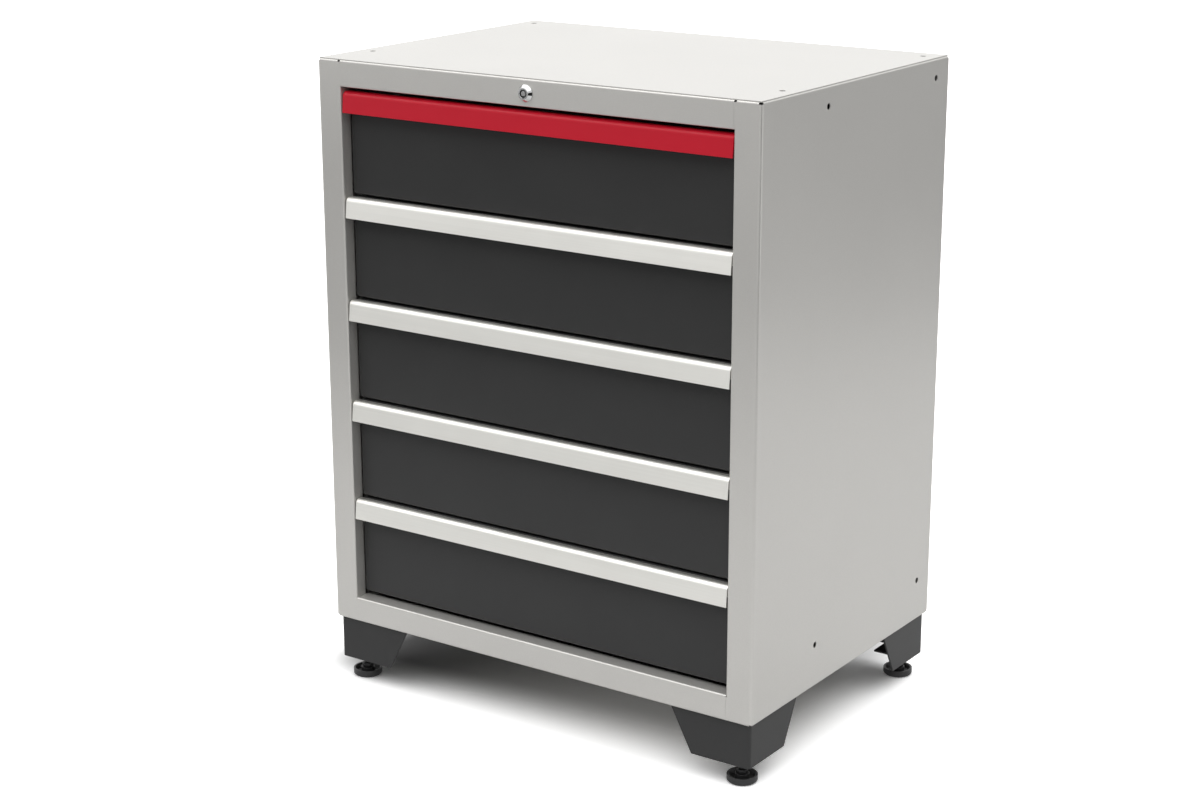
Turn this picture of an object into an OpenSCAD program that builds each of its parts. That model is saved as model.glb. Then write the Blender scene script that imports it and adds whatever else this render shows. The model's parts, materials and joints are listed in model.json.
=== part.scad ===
// Drawer tool cabinet: a folded steel case on four corner legs with levelling feet,
// five drawers on three-piece ball slides, and one front lock that bolts every drawer at the back.
// Millimetres. X runs to the right, Y to the back, Z up. The origin is on the floor,
// under the middle of the space that the cabinet takes up.

/* [Case] */
// Width of the case over its side walls
case_w = 675; // [600:1:760]
// Depth of the case from the face of its front frame to its back
case_d = 480; // [460:1:560]
// Height of the case without its legs
case_h = 780; // [720:1:860]
// Thickness of the case sheet
case_sheet = 1.2; // [0.8:0.1:1.6]
// Outer radius of the upright corner bends
corner_bend = 4; // [3:0.5:6]
// Outer radius of the folds along the edges
edge_bend = 2.5; // [2.2:0.1:3.5]
// Width of a front stile
stile_w = 37.5; // [30:0.5:45]
// Depth of the stile's return into the drawer opening
jamb_d = 19; // [14:0.5:24]
// Height of the front rail over the drawers
top_rail_h = 36; // [34:0.5:50]
// Height of the front rail under the drawers
bottom_rail_h = 34.5; // [28:0.5:50]
// Width of the fold along the top of a side wall
top_flange_w = 16; // [10:0.5:18]
// Width of the fold along the bottom of a side wall
bottom_flange_w = 34; // [30:0.5:45]
// Width of the fold along the rear of a side wall
rear_flange_w = 22; // [16:0.5:30]
// Depth of the ledge behind the bottom rail's face
ledge_d = 24; // [20:0.5:30]
// Height of the rear lips of the top and the base
rear_lip_h = 20; // [12:0.5:30]
// Distance of the top sheet's edge behind the case faces
top_inset = 1.6; // [1:0.1:3]
// Width of the slits where two folds meet at a corner
corner_slit = 0.8; // [0.5:0.1:1.5]
// Seam between a front rail and a stile
seam = 0.4; // [0.2:0.1:0.8]
// Gap around sheets that lie inside the case
sheet_gap = 0.3; // [0.2:0.1:0.6]
// Short straight stretch beside a fold
fold_lap = 0.5; // [0.3:0.1:1]
// Depth to which welded sheets run together
weld = 0.2; // [0.1:0.05:0.4]

/* [Fixing holes] */
// Diameter of the linking holes in the sides
side_hole_d = 8; // [5:0.5:10]
// Front linking holes behind the front face
side_hole_front = 157; // [140:1:170]
// Rear linking holes before the back
side_hole_rear = 38; // [32:1:45]
// Lower linking holes above the case bottom
side_hole_low = 58; // [45:1:80]
// Upper linking holes under the case top
side_hole_high = 26; // [22:1:32]
// Diameter of the worktop holes in the top
top_hole_d = 8; // [5:0.5:10]
// Worktop holes in from the sides
top_hole_side = 23; // [22:0.5:30]
// Front worktop holes behind the front face
top_hole_front = 85; // [70:1:110]
// Rear worktop holes before the back
top_hole_rear = 32; // [25:1:45]

/* [Drawers] */
// Number of drawers, all of one height
drawer_count = 5; // [4:1:6]
// Gap between the top rail and the first handle
top_gap = 6; // [4:0.5:10]
// Gap between the bottom rail and the lowest drawer's share of the opening
bottom_gap = 3.5; // [2:0.5:8]
// Gap between a drawer front and the handle under it
panel_gap = 2.5; // [1.5:0.5:4]
// Gap between a drawer front and the stile beside it
side_gap = 2; // [1.2:0.1:3]
// Distance of the drawer fronts behind the frame's face
panel_recess = 17; // [14:0.5:18]
// Depth of the folded edges of a drawer front
front_return = 13; // [8:0.5:16]
// Thickness of the drawer sheet
drawer_sheet = 1; // [0.8:0.1:1.4]
// Outer radius of the drawer sheet's folds
drawer_bend = 2.6; // [2:0.1:3.5]
// Radius of a drawer front's corners
front_round = 4.5; // [4:0.1:8]
// Distance of a drawer front's upper edge under the top of its handle
front_drop = 0.5; // [0.3:0.1:2]
// Height of the drawer's floor above the lower edge of its front
floor_rise = 6; // [4:0.5:12]
// Drop of the drawer's sides under the top of its handle
side_drop = 30; // [24:0.5:36]
// Width of the folded top edges of the drawer box
hem_w = 9; // [6:0.5:14]
// Thickness of the drawer's mat
liner_t = 2.5; // [1.5:0.5:4]
// Gap between the mat and the drawer's walls
liner_gap = 1; // [0.5:0.1:2]

/* [Handles] */
// Wall of the handle profile
handle_t = 2; // [1.6:0.1:2.4]
// Height of the handle's front lip
lip_h = 28; // [22:0.5:34]
// Lean of the lip from its top to its lower edge
lip_lean = 2.8; // [1:0.1:4]
// Distance of the lip's lower edge behind the frame's face
lip_set = 0.4; // [0.2:0.1:2]
// Outer radius along the top front edge of a handle
handle_round = 7; // [5:0.5:8]
// Outer radius of the handle's rear bend
handle_bend = 3; // [2.6:0.1:4]
// Height of the handle's rear leg
handle_leg_h = 20; // [14:0.5:24]
// Gap between a handle's end and the stile
handle_gap = 1.8; // [1.2:0.1:3]

/* [Slides] */
// Distance of the slides' rear ends before the drawers' rear
slide_short = 28.3; // [26:0.1:60]
// Height of the member that is fixed to the case
slide_h = 45; // [42:0.5:50]
// Thickness of a closed slide
slide_t = 12.7; // [12.5:0.1:14]
// Thickness of the slide sheet
slide_sheet = 1.2; // [1:0.1:1.4]
// Outer radius of the slide's folds
slide_bend = 2.2; // [1.8:0.1:2.4]
// Diameter of the slide balls
ball_d = 4; // [3.8:0.1:4.2]
// Running gap of balls and cages
ball_gap = 0.25; // [0.2:0.05:0.3]
// Thickness of a ball cage
cage_t = 0.6; // [0.5:0.1:0.7]
// Length of a ball cage
cage_len = 120; // [90:1:140]
// Distance of a ball cage from the middle member's end
cage_end = 50; // [30:1:60]
// Balls in a row of a cage
cage_balls = 4; // [2:1:8]
// Height of the slide's middle above the drawer's floor
slide_rise = 52; // [40:0.5:56]
// Distance of the front hooks behind the slide's front end
hook_front = 34; // [32:1:38]
// Distance of the rear hooks before the slide's rear end
hook_rear = 80; // [74:1:95]

/* [Slide posts] */
// Width of a post's face
post_w = 40; // [30:0.5:50]
// Width of a post's side lips
post_lip = 12; // [8:0.5:16]
// Outer radius of a post's folds
post_bend = 3; // [2.5:0.1:4]
// Post above the middle of the uppermost slide
post_over = 34; // [28:0.5:40]
// Height of a hook slot
slot_h = 16; // [14:0.5:20]
// Thickness of a slide hook
hook_t = 2.4; // [1.6:0.1:3]
// Height of a slide hook's neck
hook_h = 8; // [6:0.5:10]
// Drop of a slide hook behind the post's face
hook_drop = 5; // [3:0.5:6]
// Gap around a hook in its slot
hook_gap = 0.3; // [0.2:0.1:0.5]

/* [Lock] */
// Distance of the lock's axis under the middle of the top rail
lock_low = 1; // [0:0.5:3]
// Height of the lock bezel before the front face
lock_proud = 5.5; // [4:0.5:8]
// Diameter of the bezel at its base
bezel_d = 22; // [20:0.5:26]
// Height of the straight rim at the bezel's base
bezel_rim = 1.2; // [0.8:0.1:2]
// Diameter of the lock's face
lock_face_d = 15; // [13:0.5:17]
// Diameter of the threaded barrel
barrel_d = 18; // [16:0.5:19]
// Length of the barrel behind the front face
barrel_len = 24; // [20:0.5:32]
// Outer diameter of the ring keyway
keyway_d = 10.4; // [9:0.1:11]
// Diameter of the keyway's centre post
key_post_d = 7; // [5:0.1:7.6]
// Depth of the ring keyway
keyway_depth = 9; // [6:0.5:12]
// Width of the keyway's notches
key_notch = 1.8; // [1.2:0.1:2.4]
// Distance of the plug's face behind the lock's face
plug_recess = 0.5; // [0.2:0.1:1]
// Plug beyond the rear of the barrel
plug_tail = 1; // [0.5:0.1:3]
// Turning gap of the plug and the rod
turn_gap = 0.1; // [0.05:0.01:0.2]
// Width of the lock nut over its flats
lock_nut_w = 24; // [22:0.5:26]
// Thickness of the lock nut
lock_nut_t = 4; // [3:0.5:6]
// Diameter of the lock rod
rod_d = 8; // [6:0.5:10]
// Diameter of the sleeve that joins the rod to the plug
sleeve_d = 13; // [11:0.5:16]
// Length of that sleeve
sleeve_len = 16; // [10:0.5:24]
// Radius of the rod's crank
crank_r = 10; // [9:0.5:11]
// Thickness of the crank
crank_t = 4; // [3:0.5:6]
// Gap between the crank and the lock bar
crank_gap = 1; // [0.5:0.1:2]
// Diameter of the crank's ends
crank_w = 10; // [9:0.5:11]
// Width of the crank between its ends
crank_web = 8; // [6:0.5:8.5]
// Diameter of the crank pin
crank_pin_d = 5; // [4:0.5:6]
// Gap around the crank pin in the bar's slot
pin_gap = 0.6; // [0.5:0.05:0.8]
// Turn of the lock from open to locked, in degrees
lock_turn = 90; // [80:1:100]

/* [Lock bar] */
// Width of the lock bar
bar_w = 26; // [24:0.5:36]
// Thickness of the lock bar
bar_t = 2.5; // [2:0.1:3]
// Running gap of the bar
bar_gap = 0.3; // [0.2:0.05:0.5]
// Bar above its pin slot
bar_head = 7; // [6:0.5:8]
// Width of the bar's teeth and the drawers' catches
catch_w = 16; // [10:0.5:20]
// Thickness of the bar's teeth and the drawers' catches
catch_t = 2; // [1.5:0.1:2.5]
// Reach of a drawer's catch behind the drawer
catch_reach = 14; // [12:0.5:18]
// Height of a drawer's catch above the drawer's floor
catch_rise = 72; // [66:0.5:74]
// Height by which an open tooth clears the catch
tooth_clear = 2; // [1:0.1:3]
// Gap between a locked tooth and the catch
tooth_gap = 1; // [0.5:0.1:2]
// Gap between a catch and the bar
catch_gap = 2; // [1.9:0.1:3]
// Thickness of the bar guides
guide_t = 1; // [0.8:0.1:1.2]
// Outer radius of the bar guides' folds
guide_bend = 1.6; // [1.4:0.1:1.7]
// Height of a bar guide
guide_h = 18; // [12:0.5:24]
// Width of a bar guide's lips
guide_lip = 12; // [8:0.5:16]
// Width of the rod's bracket
bracket_w = 30; // [24:0.5:40]
// Depth of the bracket's foot under the top
bracket_d = 20; // [14:0.5:30]
// Distance of the bracket before the crank
bracket_before = 40; // [30:1:80]

/* [Legs and feet] */
// Height of a leg
leg_h = 60; // [50:1:80]
// Thickness of the leg sheet
leg_sheet = 2.5; // [2:0.1:3]
// Outer radius of the leg's upright bend
leg_bend = 5; // [4:0.5:8]
// Distance of the legs behind the case faces
leg_inset = 4.5; // [2:0.5:8]
// Length of a leg's wall at its top
leg_top_l = 117; // [110:1:140]
// Length of a leg's wall at its bottom
leg_bottom_l = 86; // [70:1:100]
// Shadow gap between a leg's walls and the case
leg_gap = 1; // [0.6:0.1:1.5]
// Width of the leg's top plate along its walls
leg_plate_w = 46; // [40:0.5:60]
// Length of the plate that carries the foot
foot_plate_l = 54; // [46:0.5:64]
// Height of that plate above the leg's lower edge
foot_plate_up = 5; // [2:0.5:10]
// Distance of a foot's axis inside the case faces
foot_in = 29; // [27:0.5:34]
// Height of the leg's lower edge above the floor
foot_gap = 30; // [26:0.5:40]
// Diameter of the foot pad
pad_d = 40; // [36:0.5:50]
// Height of the pad's rim
pad_rim_h = 10; // [8:0.5:12]
// Thickness of the pad's wall
pad_wall = 2.5; // [2:0.1:3]
// Height of the pad's floor
pad_floor = 4; // [3.5:0.1:5]
// Diameter of the pad's hub
pad_hub_d = 19; // [18:0.5:22]
// Height of the pad's hub
pad_hub_h = 11; // [10.5:0.5:14]
// Height of the stud's seat in the pad
stud_seat = 2.5; // [2:0.1:3]
// Diameter of the foot's stud
stud_d = 10; // [8:0.5:12]
// Length of the foot's stud
stud_len = 64; // [60:0.5:72]
// Width of the stud's hexagon over its flats
stud_hex_w = 14; // [13:0.5:17]
// Height of the stud's hexagon
stud_hex_h = 6; // [5:0.5:8]
// Thread gap of the stud
stud_gap = 0.1; // [0.05:0.01:0.2]
// Diameter of the nut that is welded to the leg
weld_nut_d = 18; // [16:0.5:20]
// Height of that nut
weld_nut_h = 8; // [6:0.5:10]

/* [Leg bolts] */
// Diameter of a leg bolt
bolt_d = 6; // [5:0.5:8]
// Gap around a leg bolt in its hole
bolt_gap = 0.3; // [0.2:0.1:0.5]
// Width of the bolts and nuts over their flats
bolt_hex_w = 10; // [9.5:0.5:13]
// Height of a bolt's head
bolt_head_h = 4; // [3:0.5:6]
// Height of a bolt's nut
bolt_nut_h = 5; // [4:0.5:7]
// Bolt beyond its nut
bolt_over = 3; // [1:0.5:6]
// Distance of the bolts inside the side walls
bolt_side = 22; // [21:0.5:24]
// Distance of a leg's first bolt behind the front face, or before the back
bolt_first = 32; // [28:0.5:34]
// Distance between the two bolts of a leg
bolt_pitch = 66; // [64:0.5:72]

/* [Hidden] */
$fn = 48;
// Overrun of a cut past the sheet that it goes through
cut = 2 * edge_bend;
// Overlap of two stretches of one sheet
lap = fold_lap / 2;

silver = "#b4b4af";
charcoal = "#3c3c3d";
red = "#b32a3a";
aluminium = "#d3d2cc";
chrome = "#d5d7da";
zinc = "#b9bdc0";
black = "#2a2a2b";

// Places in the case
front_y = -(case_d - lock_proud) / 2;
back_y = front_y + case_d;
side_x = case_w / 2;
open_x = side_x - stile_w;
base_z = foot_gap + leg_h;
top_z = base_z + case_h;
flange_top = top_z - case_sheet;
floor_top = base_z + 2 * case_sheet;
open_top = top_z - top_rail_h;
open_bottom = base_z + bottom_rail_h;
wall_low = base_z + edge_bend + fold_lap;
wall_high = flange_top - edge_bend - fold_lap;
lip_x = side_x - rear_flange_w - corner_slit;
back_in = back_y - 2 * case_sheet;

// Places of the drawers
pitch = (open_top - open_bottom - top_gap - bottom_gap) / drawer_count;
panel_y = front_y + panel_recess;
panel_x = open_x - side_gap;
box_x = open_x - slide_t;
box_y0 = panel_y + drawer_sheet;
bar_y = back_in - bar_gap - bar_t;
box_y1 = bar_y - catch_gap - catch_reach;
function handle_top(n) = open_top - top_gap - (n - 1) * pitch;
function panel_low(n) = handle_top(n) - pitch + panel_gap;
function box_low(n) = panel_low(n) + floor_rise;
function box_high(n) = handle_top(n) - side_drop;
function slide_z(n) = box_low(n) + slide_rise;

// Sizes of the slides: each member's half height leaves room for the balls outside it
slide_y = panel_y + front_return + 2 * ball_gap;
slide_len = box_y1 - slide_y - slide_short;
race = ball_d + 2 * ball_gap;
middle_in = slide_sheet + cage_t + 2 * ball_gap;
middle_half = slide_h / 2 - slide_sheet - race;
inner_half = middle_half - slide_sheet - race;
inner_reach = middle_in + slide_sheet + cage_t + 2 * ball_gap;
outer_reach = slide_t - slide_sheet - 2 * ball_gap;
hooks = [slide_y + hook_front, slide_y + slide_len - hook_rear];
post_top = slide_z(1) + post_over;

// Places of the lock
lock_z = open_top + top_rail_h / 2 - lock_low;
half_turn = lock_turn / 2;
pin_x = crank_r * cos(half_turn);
pin_drop = crank_r * sin(half_turn);
bar_x = (pin_x + crank_r) / 2;
bar_low = floor_top + bar_gap;
bar_rise = 2 * pin_drop;
slot_z = lock_z - pin_drop;
tooth_h = bar_rise - tooth_clear + tooth_gap;
catch_drop = bar_rise - tooth_clear + tooth_gap;
rod_front = front_y + barrel_len + plug_tail;
crank_y = bar_y - crank_gap - crank_t;
function catch_z(n) = box_low(n) + catch_rise;

// Places of the legs and their bolts
leg_low = foot_gap;
leg_high = base_z - leg_gap;
bolts = [bolt_first, bolt_first + bolt_pitch];

corners = ["front_left", "front_right", "rear_left", "rear_right"];
drawer_pieces = ["box", "front", "handle", "liner", "runner", "middle_slide"];

// Folded sheet: the sheet lies to the left of the path, and each corner is bent to an outer radius
function unit(v) = v / norm(v);
function left_of(v) = [-v[1], v[0]];
function heading(path, i) = unit(path[i + 1] - path[i]);
function turned(a, b) = a[0] * b[1] - a[1] * b[0];
function way(path, i) = turned(heading(path, i - 1), heading(path, i)) > 0 ? 1 : -1;
function bend_angle(path, i) = acos(heading(path, i - 1) * heading(path, i));
function radius_at(r, i) = is_list(r) ? r[i - 1] : r;
function path_radius(path, i, t, r) = radius_at(r, i) - (way(path, i) > 0 ? 0 : t);
function is_end(path, i) = i == 0 || i == len(path) - 1;
function trim(path, i, t, r) =
    is_end(path, i) ? 0 : path_radius(path, i, t, r) * tan(bend_angle(path, i) / 2);

module fold_arc(path, i, t, r) {
    before = heading(path, i - 1);
    start = path[i] - before * trim(path, i, t, r);
    end = path[i] + heading(path, i) * trim(path, i, t, r);
    centre = start + left_of(before) * path_radius(path, i, t, r) * way(path, i);
    outer = path_radius(path, i, t, r) + (way(path, i) > 0 ? 0 : t);
    a = unit(start - centre) * 2 * outer;
    b = unit(end - centre) * 2 * outer;
    m = unit(a + b) * 2 * outer;
    translate(centre) intersection() {
        difference() {
            circle(outer);
            circle(outer - t);
        }
        polygon(way(path, i) > 0 ? [[0, 0], a, m, b] : [[0, 0], b, m, a]);
    }
}

module folded(path, t, r) {
    for (i = [0 : len(path) - 2]) {
        d = heading(path, i);
        start = path[i] + d * trim(path, i, t, r);
        end = path[i + 1] - d * trim(path, i + 1, t, r);
        polygon([start, end, end + left_of(d) * t, start + left_of(d) * t]);
    }
    for (i = [1 : len(path) - 2]) fold_arc(path, i, t, r);
}

// Profile in Y and Z, run along X
module along_x(x0, x1) {
    translate([x0, 0, 0]) rotate([90, 0, 90]) linear_extrude(x1 - x0) children();
}

// Profile in X and Z, run along Y
module along_y(y0, y1) {
    translate([0, y1, 0]) rotate([90, 0, 0]) linear_extrude(y1 - y0) children();
}

// Profile in X and Y, run along Z
module along_z(z0, z1) {
    translate([0, 0, z0]) linear_extrude(z1 - z0) children();
}

// Round bar or hole along Y
module rod_y(x, z, d, y0, y1) {
    translate([x, y0, z]) rotate([-90, 0, 0]) cylinder(d = d, h = y1 - y0);
}

// Hexagon with a given width over its flats
module hexagon(w) {
    circle(d = w / cos(30), $fn = 6);
}

// Sheet with folded edges: its face is at y = 0 and its edges turn towards +Y
module pan(half_w, z0, z1, t, r, edge) {
    low = z0 + r + fold_lap;
    high = z1 - r - fold_lap;
    strip_x = half_w - r - corner_slit;
    along_z(low - lap, high + lap)
        folded([[-half_w, edge], [-half_w, 0], [half_w, 0], [half_w, edge]], t, r);
    along_x(-strip_x, strip_x) folded([[0, low], [0, z0], [edge, z0]], t, r);
    along_x(-strip_x, strip_x) folded([[edge, z1], [0, z1], [0, high]], t, r);
}

// One corner of the case, with x and y measured inwards from the case faces
module at_corner(c) {
    right = c % 2;
    rear = c < 2 ? 0 : 1;
    translate([right ? side_x : -side_x, rear ? back_y : front_y, 0])
        mirror([right, 0, 0]) mirror([0, rear, 0]) children();
}

// One side of the case: 1 is right, -1 is left
module on_side(s) {
    mirror([s < 0 ? 1 : 0, 0, 0]) children();
}

// Fold along the edge of the right side wall and its stile, with a mitre slit at the corner
module edge_fold(face, wall, w) {
    up = face > wall ? 1 : 0;
    difference() {
        union() {
            along_y(front_y + corner_bend + corner_slit, back_y - corner_bend - corner_slit)
                folded(up ? [[side_x, wall], [side_x, face], [side_x - w, face]]
                          : [[side_x - w, face], [side_x, face], [side_x, wall]],
                    case_sheet, edge_bend);
            along_x(open_x + edge_bend + corner_slit, side_x - corner_bend - corner_slit)
                folded(up ? [[front_y + w, face], [front_y, face], [front_y, wall]]
                          : [[front_y, wall], [front_y, face], [front_y + w, face]],
                    case_sheet, edge_bend);
        }
        translate([side_x, front_y, min(face, wall) - cut]) rotate([0, 0, 45])
            translate([-corner_slit / 2, -cut, 0])
                cube([corner_slit, 2 * w + cut, 2 * cut + edge_bend]);
    }
}

module side_panel(s) {
    plan = [
        [open_x, front_y + jamb_d], [open_x, front_y], [side_x, front_y],
        [side_x, back_y], [side_x - rear_flange_w, back_y]
    ];
    color(silver) on_side(s) difference() {
        union() {
            along_z(wall_low - lap, wall_high + lap)
                folded(plan, case_sheet, [edge_bend, corner_bend, corner_bend]);
            edge_fold(flange_top, wall_high, top_flange_w);
            edge_fold(base_z, wall_low, bottom_flange_w);
        }
        for (y = [front_y + side_hole_front, back_y - side_hole_rear])
            for (z = [base_z + side_hole_low, top_z - side_hole_high])
                translate([side_x - cut, y, z]) rotate([0, 90, 0])
                    cylinder(d = side_hole_d, h = 2 * cut);
        for (y = bolts) {
            bolt_hole(side_x - bolt_side, front_y + y);
            bolt_hole(side_x - bolt_side, back_y - y);
        }
    }
}

module bolt_hole(x, y) {
    translate([x, y, base_z - cut]) cylinder(d = bolt_d + 2 * bolt_gap, h = 2 * cut);
}

module top_panel() {
    bend_y = back_y - edge_bend - fold_lap;
    color(silver) difference() {
        union() {
            translate([-side_x + top_inset, front_y + top_inset, flange_top])
                cube([case_w - 2 * top_inset, bend_y + lap - front_y - top_inset, case_sheet]);
            along_x(-lip_x, lip_x)
                folded([[back_y, top_z - rear_lip_h], [back_y, top_z], [bend_y, top_z]],
                    case_sheet, edge_bend);
        }
        for (x = [-side_x + top_hole_side, side_x - top_hole_side])
            for (y = [front_y + top_hole_front, back_y - top_hole_rear])
                translate([x, y, flange_top - cut]) cylinder(d = top_hole_d, h = 2 * cut);
    }
}

module base_panel() {
    half = side_x - edge_bend - sheet_gap;
    start_y = front_y + jamb_d + sheet_gap;
    bend_y = back_y - edge_bend - fold_lap;
    low = base_z + case_sheet;
    color(silver) difference() {
        union() {
            translate([-half, start_y, low]) cube([2 * half, bend_y + lap - start_y, case_sheet]);
            along_x(-lip_x, lip_x)
                folded([[bend_y, low], [back_y, low], [back_y, low + rear_lip_h]],
                    case_sheet, edge_bend);
        }
        for (x = [-side_x + bolt_side, side_x - bolt_side])
            for (y = bolts) {
                bolt_hole(x, front_y + y);
                bolt_hole(x, back_y - y);
            }
    }
}

module back_panel() {
    half = side_x - corner_bend - sheet_gap;
    low = base_z + case_sheet + edge_bend + sheet_gap;
    high = top_z - edge_bend - sheet_gap;
    color(silver) translate([-half, back_in, low]) cube([2 * half, case_sheet, high - low]);
}

module top_rail() {
    profile = [
        [front_y + top_flange_w, flange_top], [front_y, flange_top],
        [front_y, open_top], [front_y + jamb_d, open_top]
    ];
    color(silver) difference() {
        along_x(-open_x + seam, open_x - seam) folded(profile, case_sheet, edge_bend);
        rod_y(0, lock_z, barrel_d + 2 * turn_gap, front_y - cut, front_y + cut);
    }
}

module bottom_rail() {
    profile = [
        [front_y + ledge_d, open_bottom], [front_y, open_bottom],
        [front_y, base_z], [front_y + bottom_flange_w, base_z]
    ];
    color(silver) along_x(-open_x + seam, open_x - seam) folded(profile, case_sheet, edge_bend);
}

// Hat-shaped posts that stand on the base and carry the slides in slots
module slide_posts(s) {
    wall = side_x - 2 * case_sheet;
    color(silver) on_side(s) for (y = hooks) difference() {
        along_z(floor_top + sheet_gap, post_top) folded([
            [wall, y + post_w / 2 + post_lip], [wall, y + post_w / 2], [open_x, y + post_w / 2],
            [open_x, y - post_w / 2], [wall, y - post_w / 2], [wall, y - post_w / 2 - post_lip]
        ], case_sheet, post_bend);
        for (n = [1 : drawer_count])
            translate([open_x - cut, y - hook_t / 2 - hook_gap, slide_z(n) - slot_h / 2])
                cube([2 * cut, hook_t + 2 * hook_gap, slot_h]);
    }
}

// Hook that hangs a cabinet member in its post
module slide_hook(y, z) {
    neck = case_sheet + hook_gap + hook_t;
    low = z - slot_h / 2 + hook_gap;
    translate([open_x - weld, y - hook_t / 2, low]) cube([neck + weld, hook_t, hook_h]);
    translate([open_x + neck - hook_t, y - hook_t / 2, low - hook_drop])
        cube([hook_t, hook_t, hook_drop + hook_h]);
}

module cabinet_slides(s) {
    profile_half = slide_h / 2;
    color(zinc) on_side(s) for (n = [1 : drawer_count]) {
        along_y(slide_y, slide_y + slide_len) folded([
            [open_x - outer_reach, slide_z(n) - profile_half], [open_x, slide_z(n) - profile_half],
            [open_x, slide_z(n) + profile_half], [open_x - outer_reach, slide_z(n) + profile_half]
        ], slide_sheet, slide_bend);
        for (y = hooks) slide_hook(y, slide_z(n));
    }
}

// Strip with two rows of balls, bent round the web of the member inside it
module ball_cage(web, reach, half, y0, z) {
    row = (web + reach) / 2;
    step = cage_len / cage_balls;
    along_y(y0, y0 + cage_len) folded([
        [open_x - reach, z - half], [open_x - web, z - half],
        [open_x - web, z + half], [open_x - reach, z + half]
    ], cage_t, cage_t * 2);
    for (i = [0 : cage_balls - 1])
        for (v = [-1, 1])
            translate([open_x - row, y0 + (i + 0.5) * step, z + v * (half - cage_t / 2)])
                sphere(d = ball_d);
}

module middle_slide(n) {
    z = slide_z(n);
    far = slide_t - slide_sheet - ball_gap;
    cage_half = slide_h / 2 - slide_sheet - race / 2 + cage_t / 2;
    inner_cage_half = middle_half - slide_sheet - race / 2 + cage_t / 2;
    inner_web = middle_in + slide_sheet + ball_gap;
    rear_cage_y = slide_y + slide_len - cage_end - cage_len;
    color(zinc) for (s = [-1, 1]) on_side(s) {
        along_y(slide_y, slide_y + slide_len) folded([
            [open_x - far, z - middle_half], [open_x - middle_in, z - middle_half],
            [open_x - middle_in, z + middle_half], [open_x - far, z + middle_half]
        ], slide_sheet, slide_bend);
        ball_cage(slide_sheet + ball_gap, outer_reach, cage_half, rear_cage_y, z);
        ball_cage(inner_web, far, inner_cage_half, slide_y + cage_end, z);
    }
}

module runner(n) {
    z = slide_z(n);
    color(zinc) for (s = [-1, 1]) on_side(s)
        along_y(slide_y, slide_y + slide_len) folded([
            [open_x - inner_reach, z + inner_half], [box_x, z + inner_half],
            [box_x, z - inner_half], [open_x - inner_reach, z - inner_half]
        ], slide_sheet, slide_bend);
}

module drawer_box(n) {
    low = box_low(n);
    high = box_high(n);
    wall_top = high - drawer_bend - fold_lap;
    pan_x = box_x - drawer_sheet + weld;
    pan_low = low + drawer_sheet - weld;
    color(charcoal) {
        along_y(box_y0, box_y1) folded([
            [-box_x + hem_w, high], [-box_x, high], [-box_x, low],
            [box_x, low], [box_x, high], [box_x - hem_w, high]
        ], drawer_sheet, drawer_bend);
        translate([0, box_y0, 0])
            pan(pan_x, pan_low, wall_top, drawer_sheet, drawer_bend, hem_w);
        translate([0, box_y1, 0]) mirror([0, 1, 0])
            pan(pan_x, pan_low, wall_top, drawer_sheet, drawer_bend, hem_w);
        drawer_catch(n);
    }
}

// Hooked tab at the back of a drawer, which the lock bar's tooth holds
module drawer_catch(n) {
    end = box_y1 + catch_reach;
    translate([bar_x - catch_w / 2, box_y1 - weld, catch_z(n) - catch_t])
        cube([catch_w, catch_reach + weld, catch_t]);
    translate([bar_x - catch_w / 2, end - catch_t, catch_z(n) - catch_t - catch_drop])
        cube([catch_w, catch_t, catch_drop + catch_t]);
}

// Corner of a pressed front: the fold is turned about the corner's middle
module front_corner(turn) {
    rotate([-90, 0, 0]) rotate([0, 0, turn]) rotate_extrude(angle = 90)
        folded([[0, 0], [front_round, 0], [front_round, front_return]], drawer_sheet, drawer_bend);
}

// Pressed sheet whose four edges turn back, with closed round corners
module drawer_front(n) {
    low = panel_low(n);
    high = handle_top(n) - front_drop;
    mid_x = panel_x - front_round;
    mid_low = low + front_round;
    mid_high = high - front_round;
    flat = (front_round - drawer_bend) / 2;
    color(charcoal) translate([0, panel_y, 0]) {
        translate([-mid_x - flat, 0, mid_low - flat])
            cube([2 * (mid_x + flat), drawer_sheet, mid_high - mid_low + 2 * flat]);
        along_z(mid_low, mid_high) folded([
            [-panel_x, front_return], [-panel_x, 0], [panel_x, 0], [panel_x, front_return]
        ], drawer_sheet, drawer_bend);
        along_x(-mid_x, mid_x)
            folded([[0, mid_low], [0, low], [front_return, low]], drawer_sheet, drawer_bend);
        along_x(-mid_x, mid_x)
            folded([[front_return, high], [0, high], [0, mid_high]], drawer_sheet, drawer_bend);
        translate([mid_x, 0, mid_low]) front_corner(0);
        translate([-mid_x, 0, mid_low]) front_corner(90);
        translate([-mid_x, 0, mid_high]) front_corner(180);
        translate([mid_x, 0, mid_high]) front_corner(270);
    }
}

module drawer_handle(n) {
    top = handle_top(n);
    lip_y = front_y + lip_set;
    color(n == 1 ? red : aluminium) along_x(-open_x + handle_gap, open_x - handle_gap) folded([
        [panel_y, top - handle_leg_h], [panel_y, top], [lip_y + lip_lean, top], [lip_y, top - lip_h]
    ], handle_t, [handle_bend, handle_round]);
}

module drawer_liner(n) {
    half = box_x - drawer_sheet - drawer_bend - liner_gap;
    y0 = box_y0 + hem_w + liner_gap;
    color(black) translate([-half, y0, box_low(n) + drawer_sheet])
        cube([2 * half, box_y1 - hem_w - liner_gap - y0, liner_t]);
}

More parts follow.
